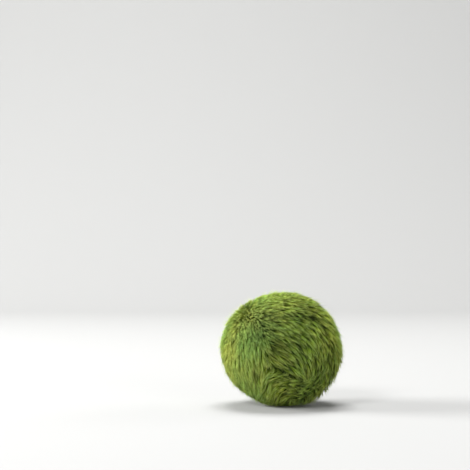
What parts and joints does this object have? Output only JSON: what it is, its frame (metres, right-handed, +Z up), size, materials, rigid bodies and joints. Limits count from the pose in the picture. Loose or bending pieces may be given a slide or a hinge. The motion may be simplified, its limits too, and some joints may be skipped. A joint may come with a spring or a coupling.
{
  "type": "moss ball",
  "caption": "Round ball of long green moss pile over a hollow plastic lattice cage, with a small flat spot to rest on.",
  "frame": {"origin": "middle of the ball's outline seen from above, on the flat spot that it rests on", "axes": "+X across the ball to the right, +Y away from the viewer to the mouth at the back, +Z up"},
  "size_m": [0.0442, 0.0426, 0.0401],
  "materials": {
    "moss_pile": "long soft fibres in combed, clumped tufts, yellow-green at the tips and dark at the roots",
    "cage_plastic": "moulded, dark grey, slightly satin"
  },
  "bodies": {
    "root": {"moss_cover": "moss_pile", "cage_upper_half": "cage_plastic", "cage_lower_half": "cage_plastic"}
  },
  "joints": []
}
